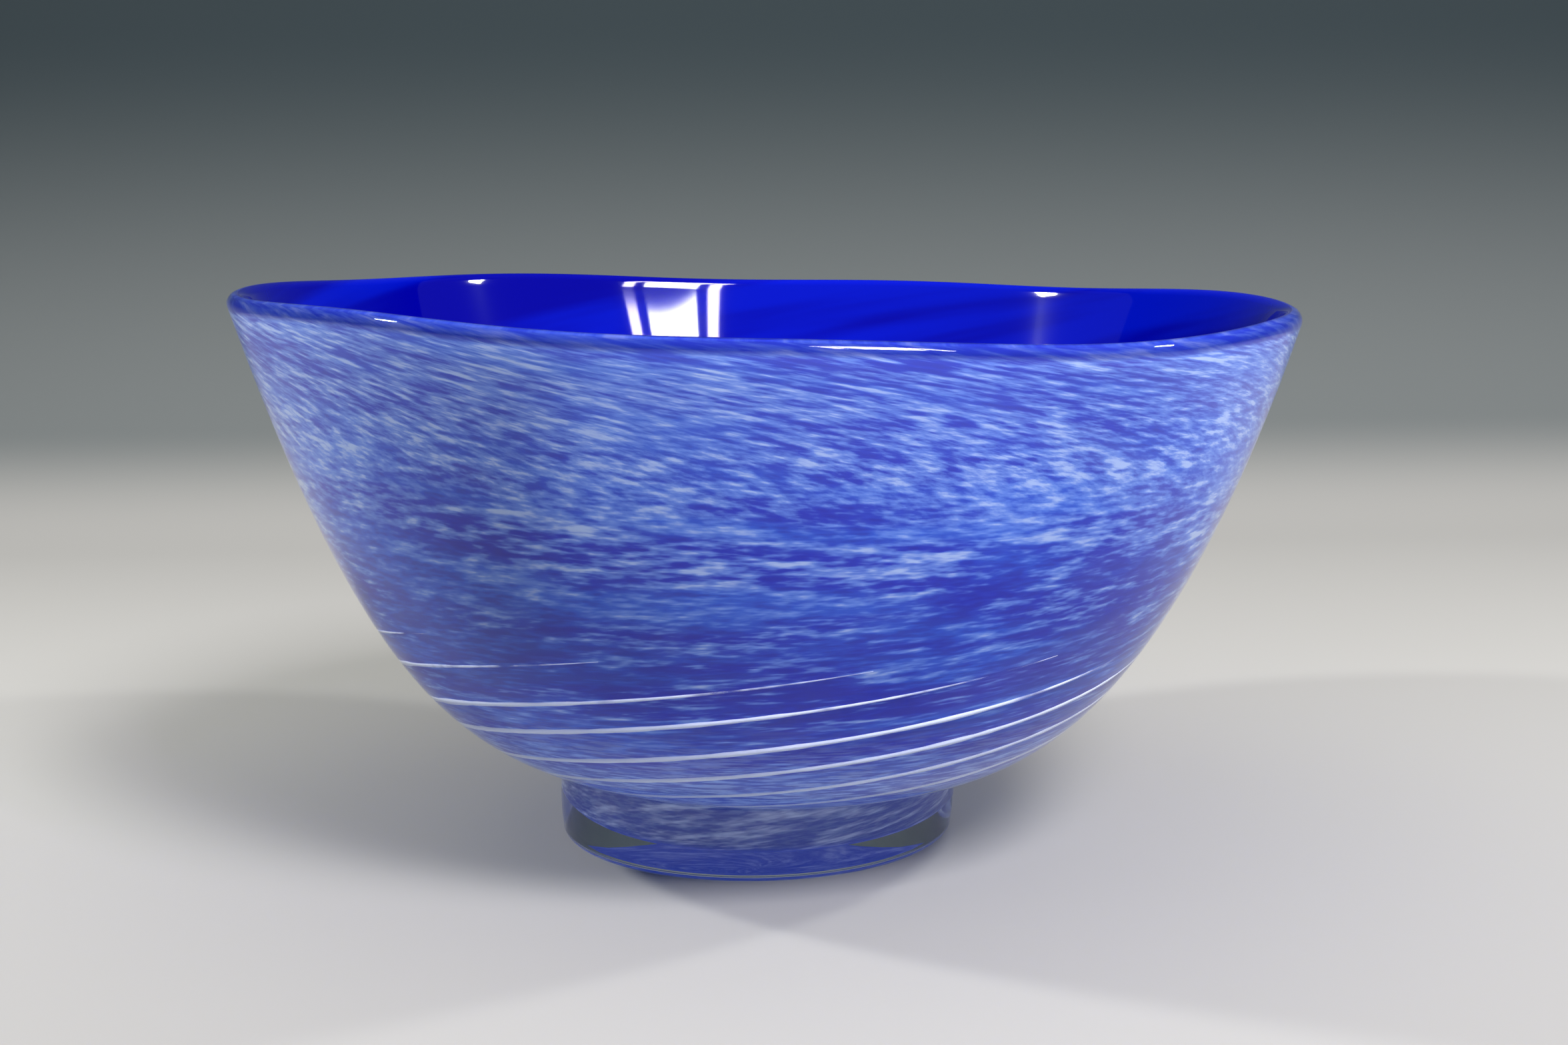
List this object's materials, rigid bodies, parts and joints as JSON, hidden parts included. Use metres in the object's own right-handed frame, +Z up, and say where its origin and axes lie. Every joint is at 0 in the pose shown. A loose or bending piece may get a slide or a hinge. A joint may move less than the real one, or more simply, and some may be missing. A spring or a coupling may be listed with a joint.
{
  "type": "art glass bowl",
  "caption": "Blown art glass bowl: cobalt lining, mottled white frit and swirled white threads under a clear casing with a rounded rim, on a solid clear foot.",
  "frame": {"origin": "middle of the foot's flat ground base, on the plane the bowl stands on", "axes": "+Z up out of the bowl's mouth; +X to the side that the bowl leans to and where its rim is widest; -Y is the front"},
  "size_m": [0.251, 0.2492, 0.1344],
  "materials": {
    "clear_glass": "fire-polished clear soda-lime glass, smooth and glossy",
    "frit_glass": "opal and blue frit melted into the blue glass, mottled and streaked, nearly opaque",
    "cobalt_glass": "saturated cobalt glass, fire-polished, glossy, nearly opaque in this depth",
    "white_glass": "opal white glass drawn into thin threads, satin under the clear casing"
  },
  "bodies": {
    "root": {"clear_foot": "clear_glass", "clear_casing": "clear_glass", "frit_layer": "frit_glass", "blue_lining": "cobalt_glass", "white_thread_01": "white_glass", "white_thread_02": "white_glass", "white_thread_03": "white_glass", "white_thread_04": "white_glass", "white_thread_05": "white_glass", "white_thread_06": "white_glass", "white_thread_07": "white_glass", "white_thread_08": "white_glass", "white_thread_09": "white_glass", "white_thread_10": "white_glass", "white_thread_11": "white_glass", "white_thread_12": "white_glass"}
  },
  "joints": []
}
